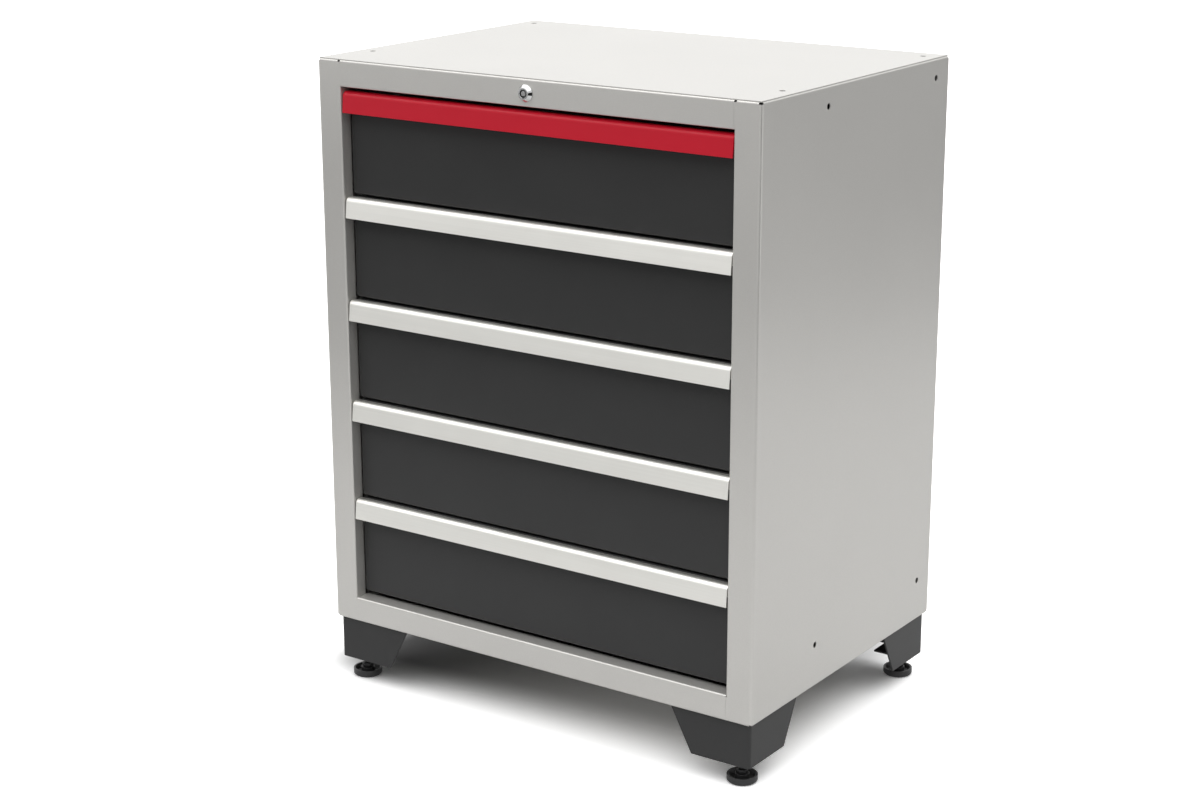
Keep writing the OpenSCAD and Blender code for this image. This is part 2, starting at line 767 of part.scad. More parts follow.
module lock_body() {
    face = -lock_proud;
    color(chrome) translate([0, front_y, lock_z]) difference() {
        rotate([-90, 0, 0]) rotate_extrude() polygon([
            [keyway_d / 2, face], [lock_face_d / 2, face], [bezel_d / 2, -bezel_rim],
            [bezel_d / 2, 0], [barrel_d / 2, 0], [barrel_d / 2, barrel_len], [keyway_d / 2, barrel_len]
        ]);
        translate([-key_notch / 2, face - cut, -keyway_d / 2 - key_notch / 2])
            cube([key_notch, cut + keyway_depth / 2, keyway_d / 2]);
    }
}

module lock_nut() {
    color(zinc) along_y(front_y + case_sheet, front_y + case_sheet + lock_nut_t)
        translate([0, lock_z]) difference() {
            hexagon(lock_nut_w);
            circle(d = barrel_d + 2 * turn_gap);
        }
}

module lock_plug() {
    face = plug_recess - lock_proud;
    core = keyway_d / 2 - turn_gap;
    color(chrome) translate([0, front_y, lock_z]) difference() {
        rotate([-90, 0, 0]) rotate_extrude() polygon([
            [0, face], [key_post_d / 2, face], [key_post_d / 2, keyway_depth - lock_proud],
            [core, keyway_depth - lock_proud], [core, rod_front - front_y], [0, rod_front - front_y]
        ]);
        translate([-key_notch / 2, face - cut, -key_post_d / 2])
            cube([key_notch, cut + keyway_depth / 2, key_notch / 2]);
    }
}

// Rod from the lock to the back, with the crank that lifts the lock bar
module lock_rod() {
    color(zinc) {
        rod_y(0, lock_z, sleeve_d, rod_front, rod_front + sleeve_len);
        rod_y(0, lock_z, rod_d, rod_front + sleeve_len / 2, crank_y + crank_t / 2);
        translate([0, 0, lock_z]) rotate([0, half_turn, 0]) {
            rod_y(0, 0, crank_w, crank_y, crank_y + crank_t);
            rod_y(crank_r, 0, crank_w, crank_y, crank_y + crank_t);
            translate([0, crank_y, -crank_web / 2]) cube([crank_r, crank_t, crank_web]);
            rod_y(crank_r, 0, crank_pin_d, crank_y + crank_t / 2, bar_y + bar_t);
        }
    }
}

module lock_bar() {
    pin_slot_h = crank_pin_d + 2 * pin_gap;
    pin_slot_w = crank_r - pin_x + pin_slot_h;
    color(zinc) {
        difference() {
            translate([bar_x - bar_w / 2, bar_y, bar_low])
                cube([bar_w, bar_t, slot_z + bar_head - bar_low]);
            translate([bar_x - pin_slot_w / 2, bar_y - cut, slot_z - pin_slot_h / 2])
                cube([pin_slot_w, 2 * cut, pin_slot_h]);
        }
        for (n = [1 : drawer_count]) bar_tooth(n);
    }
}

// Tooth that stands under the drawer's catch and rises behind it
module bar_tooth(n) {
    catch_face = box_y1 + catch_reach - catch_t;
    tooth_y = catch_face - tooth_gap - catch_t;
    tooth_top = catch_z(n) - catch_t - catch_drop - tooth_clear;
    shelf = tooth_top - tooth_h;
    translate([bar_x - catch_w / 2, tooth_y, shelf - catch_t])
        cube([catch_w, bar_y + weld - tooth_y, catch_t]);
    translate([bar_x - catch_w / 2, tooth_y, shelf - catch_t]) cube([catch_w, catch_t, tooth_h + catch_t]);
}

// Straps that hold the lock bar to the back, and the bracket that carries the rod
module lock_guides() {
    half = bar_w / 2 + bar_gap + guide_t;
    foot = back_in - guide_t;
    face = bar_y - bar_gap - guide_t;
    bracket_y = crank_y - bracket_before;
    color(zinc) {
        for (n = [1 : 2 : drawer_count])
            along_z(box_low(n), box_low(n) + guide_h) translate([bar_x, 0]) folded([
                [-half - guide_lip, foot], [-half, foot], [-half, face],
                [half, face], [half, foot], [half + guide_lip, foot]
            ], guide_t, guide_bend);
        difference() {
            along_x(-bracket_w / 2, bracket_w / 2) folded([
                [bracket_y + bracket_d, flange_top], [bracket_y, flange_top],
                [bracket_y, lock_z - sleeve_d]
            ], case_sheet, edge_bend);
            rod_y(0, lock_z, rod_d + 2 * turn_gap, bracket_y - cut, bracket_y + cut);
        }
    }
}

// Corner leg: two walls with slanted ends, a plate under the case and a plate for the foot
module leg(c) {
    in = leg_inset + leg_sheet - weld;
    far = leg_inset + leg_top_l;
    near = leg_inset + leg_bottom_l;
    slant = [
        [near, leg_low], [far, leg_high], [far + cut, leg_high],
        [far + cut, leg_low - cut], [near, leg_low - cut]
    ];
    plate_z = leg_low + foot_plate_up;
    color(charcoal) at_corner(c) difference() {
        union() {
            difference() {
                along_z(leg_low, leg_high) folded([
                    [leg_inset, far], [leg_inset, leg_inset], [far, leg_inset]
                ], leg_sheet, leg_bend);
                along_y(leg_inset - cut, leg_inset + cut) polygon(slant);
                along_x(leg_inset - cut, leg_inset + cut) polygon(slant);
            }
            along_z(base_z - leg_sheet, base_z) polygon([
                [leg_inset + leg_bend, in], [far, in], [far, leg_plate_w],
                [leg_plate_w, far], [in, far], [in, leg_inset + leg_bend]
            ]);
            along_z(plate_z, plate_z + leg_sheet) polygon([
                [leg_inset + leg_bend, in], [foot_plate_l, in], [foot_plate_l, foot_plate_l],
                [in, foot_plate_l], [in, leg_inset + leg_bend]
            ]);
            translate([foot_in, foot_in, plate_z + leg_sheet - weld])
                cylinder(d = weld_nut_d, h = weld_nut_h + weld);
        }
        translate([foot_in, foot_in, leg_low - cut])
            cylinder(d = stud_d + 2 * stud_gap, h = cut + foot_plate_up + leg_sheet + weld_nut_h + cut);
        for (y = bolts)
            translate([bolt_side, y, base_z - cut]) cylinder(d = bolt_d + 2 * bolt_gap, h = 2 * cut);
    }
}

// Bolts that clamp the legs under the case, each with its nut
module leg_bolts() {
    head_top = base_z - leg_sheet;
    shank_top = floor_top + bolt_nut_h + bolt_over;
    color(zinc) for (c = [0 : 3]) at_corner(c) for (y = bolts) translate([bolt_side, y, 0]) {
        along_z(head_top - bolt_head_h, head_top) hexagon(bolt_hex_w);
        translate([0, 0, head_top - weld]) cylinder(d = bolt_d, h = shank_top - head_top + weld);
        along_z(floor_top, floor_top + bolt_nut_h) difference() {
            hexagon(bolt_hex_w);
            circle(d = bolt_d + 2 * turn_gap);
        }
    }
}

// Cup-shaped pad with a hub for the stud
module foot_pad(c) {
    r = pad_d / 2;
    socket = stud_d / 2 + stud_gap;
    color(black) at_corner(c) translate([foot_in, foot_in, 0]) rotate_extrude() polygon([
        [0, 0], [r - pad_wall, 0], [r, pad_wall], [r, pad_rim_h], [r - pad_wall, pad_rim_h],
        [r - 2 * pad_wall, pad_floor], [pad_hub_d / 2, pad_floor], [pad_hub_d / 2, pad_hub_h],
        [socket, pad_hub_h], [socket, stud_seat], [0, stud_seat]
    ]);
}

module foot_stud(c) {
    color(zinc) at_corner(c) translate([foot_in, foot_in, 0]) {
        translate([0, 0, stud_seat]) cylinder(d = stud_d, h = stud_len);
        along_z(pad_hub_h, pad_hub_h + stud_hex_h) hexagon(stud_hex_w);
    }
}

side_panel(-1);  // left_side_panel
side_panel(1);  // right_side_panel
top_panel();
base_panel();
back_panel();
top_rail();
bottom_rail();
slide_posts(-1);  // left_slide_posts
slide_posts(1);  // right_slide_posts
cabinet_slides(-1);  // left_cabinet_slides
cabinet_slides(1);  // right_cabinet_slides
leg_bolts();
lock_body();
lock_nut();
lock_plug();
lock_rod();
lock_bar();
lock_guides();
for (c = [0 : 3]) {
    leg(c);
    foot_pad(c);
    foot_stud(c);
}
for (n = [1 : drawer_count]) {
    drawer_box(n);
    drawer_front(n);
    drawer_handle(n);
    drawer_liner(n);
    runner(n);
    middle_slide(n);
}
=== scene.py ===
# %% [markdown]
# # A drawer tool cabinet in folded sheet steel
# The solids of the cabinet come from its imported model: every folded sheet, slide and bolt is already in its
# place. Here they get their finishes, and the pieces whose edges catch the light are modelled by hand: the
# dressed welds, the pull handles, the lock, the levelling feet and the drawer mats. Everything is in metres,
# with the front towards -Y.

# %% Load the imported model
import json
import math

import bmesh
import bpy
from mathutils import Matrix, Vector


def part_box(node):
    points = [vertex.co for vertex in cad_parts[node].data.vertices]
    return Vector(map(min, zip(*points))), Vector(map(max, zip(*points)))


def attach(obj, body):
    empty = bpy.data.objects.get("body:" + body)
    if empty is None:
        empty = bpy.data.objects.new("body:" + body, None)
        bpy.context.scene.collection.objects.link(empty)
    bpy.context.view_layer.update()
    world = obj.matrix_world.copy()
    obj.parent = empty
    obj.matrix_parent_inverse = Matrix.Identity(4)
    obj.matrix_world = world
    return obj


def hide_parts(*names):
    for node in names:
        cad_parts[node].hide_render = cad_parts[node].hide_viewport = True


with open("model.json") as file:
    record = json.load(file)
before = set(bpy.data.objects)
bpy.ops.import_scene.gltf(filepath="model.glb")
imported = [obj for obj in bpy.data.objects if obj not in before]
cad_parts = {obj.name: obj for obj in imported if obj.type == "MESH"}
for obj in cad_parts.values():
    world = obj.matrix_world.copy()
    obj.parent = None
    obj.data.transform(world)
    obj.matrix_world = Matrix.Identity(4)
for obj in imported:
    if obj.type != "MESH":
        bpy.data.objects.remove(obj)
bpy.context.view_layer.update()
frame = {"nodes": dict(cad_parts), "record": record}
nodes = frame["nodes"]
MM = 0.001

# %% [markdown]
# ## Writing shaders as sums
# A finish is a web of small nodes, and a long list of links is hard to read. A small class can hold one
# socket and overload the signs of arithmetic, so that `0.3 + 0.1 * grain` adds the Math nodes by itself.
# Every other node is added by one method, which sets the node up first and then fills or links its sockets.

# %% A wire that can be summed
class Wire:
    """One output socket of a node tree, or the bare tree where a finish starts."""

    def __init__(self, tree, socket=None):
        self.tree = tree
        self.socket = socket

    def node(self, kind, settings=None, values=None, out=0):
        """Adds a node, sets it up, fills or links its sockets, and gives one of its outputs."""
        made = self.tree.nodes.new(kind)
        for name, setting in (settings or {}).items():
            setattr(made, name, setting)
        for name, value in (values or {}).items():
            if isinstance(value, Wire):
                self.tree.links.new(value.socket, made.inputs[name])
            else:
                made.inputs[name].default_value = value
        return Wire(self.tree, made.outputs[out] if made.outputs else None)

    def math(self, operation, *values):
        return self.node("ShaderNodeMath", {"operation": operation}, dict(enumerate(values)))

    def __add__(self, other):
        return self.math("ADD", self, other)

    def __radd__(self, other):
        return self.math("ADD", other, self)

    def __sub__(self, other):
        return self.math("SUBTRACT", self, other)

    def __rsub__(self, other):
        return self.math("SUBTRACT", other, self)

    def __mul__(self, other):
        return self.math("MULTIPLY", self, other)

    def __rmul__(self, other):
        return self.math("MULTIPLY", other, self)


print("shader sums are ready")

# %% [markdown]
# ## What the finishes share
# A real coat is never quite even, so every finish here moves between two tones. The unevenness could be
# painted as an image, but noise in the part's own coordinates needs no file, has no seams at the folds and
# keeps its size on every piece. Scales count the waves or cells in a metre.

# %% Parts of a finish
def new_finish(name):
    """A material with an empty node tree, and the wire on which its sums start."""
    finish = bpy.data.materials.new(name)
    finish.use_nodes = True
    finish.node_tree.nodes.clear()
    return finish, Wire(finish.node_tree)


def end_finish(start, values):
    """Closes a finish with one Principled shader that takes these values and links."""
    shader = start.node("ShaderNodeBsdfPrincipled", None, values)
    start.node("ShaderNodeOutputMaterial", None, {"Surface": shader})


def own_place(start):
    """Each point's place in the part's own coordinates."""
    return start.node("ShaderNodeTexCoord", out="Object")


def grain(start, scale, detail=2.0, stretch=(1.0, 1.0, 1.0)):
    """Soft noise, which a small stretch value draws out into streaks along that axis."""
    turned = start.node("ShaderNodeMapping", None, {"Vector": own_place(start), "Scale": stretch})
    values = {"Vector": turned, "Scale": scale, "Detail": detail}
    return start.node("ShaderNodeTexNoise", None, values, out="Fac")


def cells(start, scale):
    """One random value for each small cell."""
    place = own_place(start)
    colour = start.node("ShaderNodeTexVoronoi", None, {"Vector": place, "Scale": scale}, out="Color")
    return start.node("ShaderNodeSeparateColor", None, {"Color": colour}, out=0)


def blend(start, factor, first, second):
    """A colour between two colours; each is three numbers or a wire."""
    ends = [tone if isinstance(tone, Wire) else (*tone, 1.0) for tone in (first, second)]
    return start.node("ShaderNodeMix", {"data_type": "RGBA"}, {0: factor, 6: ends[0], 7: ends[1]}, out=2)


def relief(start, height, depth):
    """A bump whose full height is depth, in metres."""
    return start.node("ShaderNodeBump", None, {"Height": height, "Distance": depth, "Strength": 1.0})


print("finishes can be mixed from grain, cells, blend and relief")

# %% [markdown]
# ## Silver powder coat
# The case is sprayed with a powder that holds fine aluminium flakes and is then baked. A grey diffuse paint
# would be too even: the flakes make the coat behave half like metal, so a face that looks at something dark
# turns dark, and one that looks at the lamps turns almost white. Each flake is a small cell with its own
# tone and shine, and the baked powder flows into a faint orange peel, which is the bump.

# %% Silver powder coat
SILVER_TONES = (0.607, 0.596, 0.570), (0.687, 0.675, 0.647)

silver, start = new_finish("silver_powder_coat")
spark = cells(start, scale=2400.0)
cloud = grain(start, scale=6.0, detail=3.0)
peel = grain(start, scale=380.0)
end_finish(start, {
    "Base Color": blend(start, 0.6 * spark + 0.4 * cloud, *SILVER_TONES),
    "Metallic": 0.42 + 0.16 * spark,
    "Roughness": 0.36 - 0.06 * spark + 0.06 * (cloud - 0.5),
    "Normal": relief(start, peel + 0.15 * spark, depth=0.02 * MM),
})
print(silver.name, len(silver.node_tree.nodes), "nodes")

# %% [markdown]
# ## Charcoal powder coat
# Drawers and legs wear a dark coat without flakes. Its powder leaves a fine, dry texture that scatters the
# light, so the panels look even and soft. A plain dark grey would look like paper, so two sizes of noise give
# the texture: one for the grains, and one for the slight change in film thickness over a panel.

# %% Charcoal powder coat
CHARCOAL_TONES = (0.039, 0.039, 0.0393), (0.0535, 0.0535, 0.0538)

charcoal, start = new_finish("charcoal_powder_coat")
pimple = grain(start, scale=900.0, detail=3.0)
film = grain(start, scale=9.0)
end_finish(start, {
    "Base Color": blend(start, 0.6 * film + 0.4 * pimple, *CHARCOAL_TONES),
    "Roughness": 0.34 + 0.10 * (pimple - 0.5) + 0.06 * (film - 0.5),
    "Specular IOR Level": 0.22,
    "Normal": relief(start, pimple, depth=0.03 * MM),
})
print(charcoal.name, len(charcoal.node_tree.nodes), "nodes")

# %% [markdown]
# ## Satin aluminium
# Four handles are bare aluminium. The die that the profile is pressed through draws fine lines along it,
# which the satin etch softens but does not remove. The lines could be cut into the mesh, but they are finer
# than any pixel, so the noise is stretched along X until it becomes streaks in tone, shine and bump.

# %% Satin aluminium
SATIN_TONES = (0.765, 0.758, 0.717), (0.868, 0.861, 0.825)
ALONG_HANDLE = (0.004, 1.0, 1.0)

satin, start = new_finish("satin_aluminium")
die_line = grain(start, scale=700.0, detail=3.0, stretch=ALONG_HANDLE)
haze = grain(start, scale=14.0)
end_finish(start, {
    "Base Color": blend(start, 0.7 * die_line + 0.3 * haze, *SATIN_TONES),
    "Metallic": 1.0,
    "Roughness": 0.38 + 0.10 * die_line + 0.05 * haze,
    "Normal": relief(start, die_line, depth=0.006 * MM),
})
print(satin.name, len(satin.node_tree.nodes), "nodes")

# %% [markdown]
# ## Red coat
# The top handle has a red coat over the same profile. It could be the charcoal coat in another colour, but
# the handle would then lose its direction, so a hint of the die lines is kept under the coat's texture.

# %% Red coat
RED_TONES = (0.72, 0.0085, 0.029), (0.80, 0.0115, 0.037)

red, start = new_finish("red_coat")
pimple = grain(start, scale=800.0)
die_line = grain(start, scale=500.0, stretch=ALONG_HANDLE)
film = grain(start, scale=12.0)
end_finish(start, {
    "Base Color": blend(start, 0.7 * film + 0.3 * pimple, *RED_TONES),
    "Roughness": 0.30 + 0.08 * (pimple - 0.5) + 0.05 * die_line,
    "Specular IOR Level": 0.3,
    "Normal": relief(start, 0.6 * pimple + 0.4 * die_line, depth=0.015 * MM),
})
print(red.name, len(red.node_tree.nodes), "nodes")

# %% [markdown]
# ## Chrome
# The lock is polished chrome, broken only by faint handling haze. Its round key slot is narrow, and light
# that falls in hardly comes out again. Rendering enough bounces for that would be slow, so the shade in the
# slot is painted: the finish itself turns dark near the lock's axis and behind its face, measured in the
# part's own coordinates.

# %% Polished chrome
lock_low, lock_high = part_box("lock_body")
LOCK_Z = (lock_low.z + lock_high.z) / 2
KEY_RING_R = 5.2 * MM
# Painted shade for the key slot: its dark tone, the depths over which it fades in, and its lap past the key
# ring.
CHROME_TONES, SLOT_SHADE_TONE = ((0.55, 0.555, 0.553), (0.62, 0.625, 0.623)), (0.015, 0.015, 0.015)
SLOT_SHADE_FROM, SLOT_SHADE_FULL, SLOT_SHADE_LAP = 0.3 * MM, 0.9 * MM, 0.1 * MM

chrome, start = new_finish("polished_chrome")
haze = grain(start, scale=160.0, detail=3.0)
from_axis = start.node(
    "ShaderNodeVectorMath", {"operation": "SUBTRACT"}, {0: own_place(start), 1: (0.0, lock_low.y, LOCK_Z)}
)
flat = start.node("ShaderNodeVectorMath", {"operation": "MULTIPLY"}, {0: from_axis, 1: (1.0, 0.0, 1.0)})
reach = start.node("ShaderNodeVectorMath", {"operation": "LENGTH"}, {0: flat}, out="Value")
depth = start.node("ShaderNodeSeparateXYZ", None, {"Vector": from_axis}, out="Y")
# Painted shade in the key slot: the chrome turns dark and dull from this depth behind the face, inside the
# key ring.
deep = start.node("ShaderNodeMapRange", None, {"Value": depth, "From Min": SLOT_SHADE_FROM, "From Max": SLOT_SHADE_FULL})
painted_slot_shade = deep * start.math("LESS_THAN", reach, KEY_RING_R + SLOT_SHADE_LAP)
end_finish(start, {
    "Base Color": blend(start, painted_slot_shade, blend(start, haze, *CHROME_TONES), SLOT_SHADE_TONE),
    "Metallic": 1.0 - painted_slot_shade,
    "Roughness": 0.05 + 0.08 * haze + 0.4 * painted_slot_shade,
    "Normal": relief(start, haze, depth=0.004 * MM),
})
print(chrome.name, "lock axis at", round(LOCK_Z, 4))

# %% [markdown]
# ## Zinc plate
# Slides, bolts and the lock's linkage are zinc plated: a soft metal grey whose crystals turn slightly bluish
# or warm from patch to patch. One grey would do from afar, but an open drawer shows its slides close by, so
# each crystal is a cell with its own tone, and the wear of the balls is noise drawn out along the travel.

# %% Zinc plate
ZINC_TONES = (0.52, 0.53, 0.55), (0.62, 0.61, 0.59)
ALONG_SLIDE = (1.0, 0.05, 1.0)

zinc, start = new_finish("zinc_plate")
patch = cells(start, scale=420.0)
rub = grain(start, scale=260.0, detail=3.0, stretch=ALONG_SLIDE)
end_finish(start, {
    "Base Color": blend(start, patch, *ZINC_TONES),
    "Metallic": 1.0,
    "Roughness": 0.30 + 0.10 * rub + 0.05 * patch,
    "Normal": relief(start, rub, depth=0.01 * MM),
})
print(zinc.name, len(zinc.node_tree.nodes), "nodes")

# %% [markdown]
# ## Black zinc plate
# The studs of the feet are zinc plated too, but their plate is passivated black. A black paint would lose the
# dull glint that is left on the thread, so the finish stays partly metallic, and noise moves it between oily
# and dry.

# %% Black zinc plate
BLACK_ZINC_TONES = (0.018, 0.018, 0.019), (0.040, 0.040, 0.041)

black_zinc, start = new_finish("black_zinc_plate")
oil = grain(start, scale=120.0, detail=3.0)
scale_mark = grain(start, scale=900.0)
end_finish(start, {
    "Base Color": blend(start, 0.6 * oil + 0.4 * scale_mark, *BLACK_ZINC_TONES),
    "Metallic": 0.3 + 0.3 * scale_mark,
    "Roughness": 0.30 + 0.14 * oil,
    "Normal": relief(start, scale_mark, depth=0.01 * MM),
})
print(black_zinc.name, len(black_zinc.node_tree.nodes), "nodes")

# %% [markdown]
# ## Moulded plastic
# The cups of the feet are moulded in black plastic. Sparks eat the steel of such a mould and leave a fine
# grain on all that comes out of it. A smooth black would look like glass, so fine noise roughens the shine
# and the bump, and slow noise shows where the melt has flowed.

# %% Moulded plastic
PLASTIC_TONES = (0.024, 0.024, 0.025), (0.034, 0.034, 0.035)

plastic, start = new_finish("black_moulded_plastic")
spark_mark = grain(start, scale=1100.0, detail=3.0)
flow = grain(start, scale=40.0)
end_finish(start, {
    "Base Color": blend(start, flow, *PLASTIC_TONES),
    "Roughness": 0.32 + 0.12 * spark_mark + 0.06 * (flow - 0.5),
    "Normal": relief(start, spark_mark, depth=0.03 * MM),
})
print(plastic.name, len(plastic.node_tree.nodes), "nodes")

# %% [markdown]
# ## Rubber
# The drawer mats are dull rubber. Its ribs are modelled below; what is left for the finish is the crumbly
# surface and the pale bloom that old rubber gets. Both are noise, and a high roughness keeps highlights away.

# %% Rubber
RUBBER_TONES = (0.014, 0.014, 0.015), (0.030, 0.030, 0.031)

rubber, start = new_finish("ribbed_rubber_mat")
crumb = grain(start, scale=700.0, detail=3.0)
bloom = grain(start, scale=20.0)
end_finish(start, {
    "Base Color": blend(start, 0.5 * crumb + 0.5 * bloom, *RUBBER_TONES),
    "Roughness": 0.70 + 0.14 * crumb + 0.06 * (bloom - 0.5),
    "Normal": relief(start, crumb, depth=0.04 * MM),
})
print(rubber.name, len(rubber.node_tree.nodes), "nodes")

# %% [markdown]
# ## Dressing the solids
# The record names a finish slot for each solid. The folded sheets already have their real bends, so they stay
# as they are and only their material changes. A list of names would do as well, but the record already knows
# which coat each piece wears.

# %% Give each solid its finish
FINISH = {
    "silver_coat": silver,
    "charcoal_coat": charcoal,
    "red_coat": red,
    "satin_aluminium": satin,
    "chrome": chrome,
    "zinc_steel": zinc,
    "black_plastic": plastic,
    "rubber_mat": rubber,
}
for entry in frame["record"]["subparts"]:
    solid = nodes[entry["node"]]
    solid.data.materials.clear()
    solid.data.materials.append(FINISH[entry["material_slot"]])

# %% [markdown]
# ## Small tools for modelling by hand
# Modelling in a script is the same as by hand: deselect everything, add a primitive, open it, pick an edge or
# a face and use an operator. Only the picking differs. Instead of a click, a test on the place or the
# direction of each edge or face says whether it is meant.

# %% Selecting
NEAR = 0.05 * MM


def begin():
    """Nothing is selected, so that the next operator touches only what is made next."""
    bpy.ops.object.select_all(action="DESELECT")


def take(*pieces):
    """Selects only these pieces, and makes the first one active."""
    begin()
    for piece in pieces:
        piece.select_set(True)
    bpy.context.view_layer.objects.active = pieces[0]


def is_near(first, second):
    """Whether two places on an axis are the same, but for rounding."""
    return abs(first - second) < NEAR


def middle(item):
    """The middle of an edge or a face."""
    return sum((v.co for v in item.verts), start=item.verts[0].co * 0) / len(item.verts)


def pick(kind, test):
    """Selects the edges or faces of the open piece that pass the test."""
    bpy.ops.mesh.select_mode(type=kind)
    bpy.ops.mesh.select_all(action="DESELECT")
    mesh = bpy.context.object.data
    shape = bmesh.from_edit_mesh(mesh)
    for item in shape.edges if kind == "EDGE" else shape.faces:
        if test(item):
            item.select_set(True)
    shape.select_flush_mode()
    bmesh.update_edit_mesh(mesh)


print("select with begin, take and pick")

# %% [markdown]
# ## Shaping in edit mode
# A sheet metal worker starts from a flat blank and bends its edges. Most pieces here start in the same way,
# from a plane whose edges or face are pulled on. Whole boxes and tubes could be put together instead, but a
# blank that grows by its edges stays one clean skin.

# %% Shaping
def settle():
    """Puts a new piece's place, turn and size into its mesh, so that its object sits at the origin."""
    bpy.ops.object.transform_apply(location=True, rotation=True, scale=True)


def lay_plane(centre, size, turn=(0.0, 0.0, 0.0)):
    """Adds a plane of this size at its place; size is measured along the axes of the scene."""
    begin()
    bpy.ops.mesh.primitive_plane_add(size=1.0, location=centre, rotation=turn)
    bpy.ops.transform.resize(value=size)
    settle()
    return bpy.context.object


def open_mesh():
    """Goes into edit mode on the active piece."""
    bpy.ops.object.mode_set(mode="EDIT")


def pull(x=0.0, y=0.0, z=0.0):
    """Extrudes what is selected and moves it."""
    bpy.ops.mesh.extrude_region_move(TRANSFORM_OT_translate={"value": (x, y, z)})


def face_outwards():
    """Turns all the faces of the open piece outwards."""
    bpy.ops.mesh.select_all(action="SELECT")
    bpy.ops.mesh.normals_make_consistent(inside=False)


def close_mesh():
    """Comes back from edit mode."""
    bpy.ops.object.mode_set(mode="OBJECT")


print("shape with lay_plane and pull")

# %% [markdown]
# ## Finishing a piece
# No real edge is perfectly sharp, and the thin line of light on an eased edge tells the eye how thick a
# sheet is. Bevels could be cut edge by edge; a modifier that looks for sharp angles finds them all at once.
# Weighted normals then keep the large faces flat. A finished piece rides on its body and stands in for its
# solid.

# %% Finishing a piece
SMOOTH_ANGLE = math.radians(30.0)


def refine(piece, kind, **settings):
    """Adds a modifier to the active piece and applies it."""
    modifier = piece.modifiers.new(kind.lower(), kind)
    for name, setting in settings.items():
        setattr(modifier, name, setting)
    bpy.ops.object.modifier_apply(modifier=modifier.name)


def ease_edges(piece, width, segments=2, angle=40.0):
    """Breaks the edges that are sharper than an angle, and shades the piece smooth."""
    refine(
        piece, "BEVEL", width=width, segments=segments, limit_method="ANGLE", angle_limit=math.radians(angle)
    )
    bpy.ops.object.shade_smooth_by_angle(angle=SMOOTH_ANGLE)


def true_faces(piece):
    """Lets the large faces keep their own normal, so that only the eased edges bend the light."""
    refine(piece, "WEIGHTED_NORMAL", keep_sharp=True)


def join(*pieces):
    """Makes one piece of several."""
    take(*pieces)
    bpy.ops.object.join()
    return pieces[0]


def hand_over(piece, name, finish, slot, body, *replaced):
    """Names a finished piece, gives it its finish, and puts it in place of its solids."""
    piece.name = name
    piece.data.name = name
    piece.data.materials.clear()
    piece.data.materials.append(finish)
    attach(piece, body)
    if replaced:
        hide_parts(*replaced)
    print(name, len(piece.data.polygons), "faces")


print("finish with refine, ease_edges, true_faces and hand_over")

# %% [markdown]
# ## Dressed welds
# Where a rail meets a stile, the joint is welded, ground flush and coated over, so that only a faint line is
# left on the real cabinet. The solids leave a gap there, beside the stile's folded edge, which would show as
# a dark groove. A painted line could hide it from one side only. A flat bead that fills the groove, just
# behind the front face, works from every side: a plane is pulled back to a strip and its edges are eased.

# %% Dressed welds
WELD_STEP, WELD_DEPTH, WELD_LAP, WELD_LINE = 0.03 * MM, 0.8 * MM, 3.0 * MM, 0.28 * MM
WELD_FROM, WELD_TO, WELD_EASE = 1.0 * MM, 2.3 * MM, 0.1 * MM
UPRIGHT = (math.pi / 2, 0.0, 0.0)
stile_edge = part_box("right_side_panel")[0].x


def dress_weld(rail, side):
    """Fills the joint at one end of a rail; side is -1 at the left and 1 at the right."""
    low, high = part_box(rail)
    z0, z1 = low.z + WELD_FROM, high.z - WELD_TO
    centre = (side * (stile_edge + (WELD_LAP - WELD_LINE) / 2), low.y + WELD_STEP, (z0 + z1) / 2)
    bead = lay_plane(centre, (WELD_LAP + WELD_LINE, 1.0, z1 - z0), UPRIGHT)
    open_mesh()
    pick("FACE", lambda face: True)
    pull(y=WELD_DEPTH)
    face_outwards()
    close_mesh()
    ease_edges(bead, WELD_EASE)
    return bead


welds = join(*[dress_weld(rail, side) for rail in ("top_rail", "bottom_rail") for side in (-1, 1)])
true_faces(welds)
hand_over(welds, "dressed_welds", silver, "silver_coat", "case")

# %% [markdown]
# ## Pull handles
# Each handle is an extruded profile: a leg against the drawer front, a web, a generous round and a lip that
# leans forward, open from below for the fingers. It could be drawn as a section and extruded in one go, but
# folding a strip edge by edge shows how the profile runs: a plane is the leg, its upper edge is pulled
# forward for the web, and that edge is pulled down for the lip. The two folds are bevelled round, the strip
# gets its wall, and the cut edges are eased, because that thin bright line is what the eye finds first.

# %% Handle profile
HANDLE_WALL, HANDLE_LEG, HANDLE_LIP = 2.0 * MM, 20.0 * MM, 28.0 * MM
HANDLE_LEAN, HANDLE_ROUND, HANDLE_BEND = 2.8 * MM, 7.0 * MM, 3.0 * MM
HANDLE_EASE = 0.45 * MM
FACING_BACK = (-math.pi / 2, 0.0, 0.0)


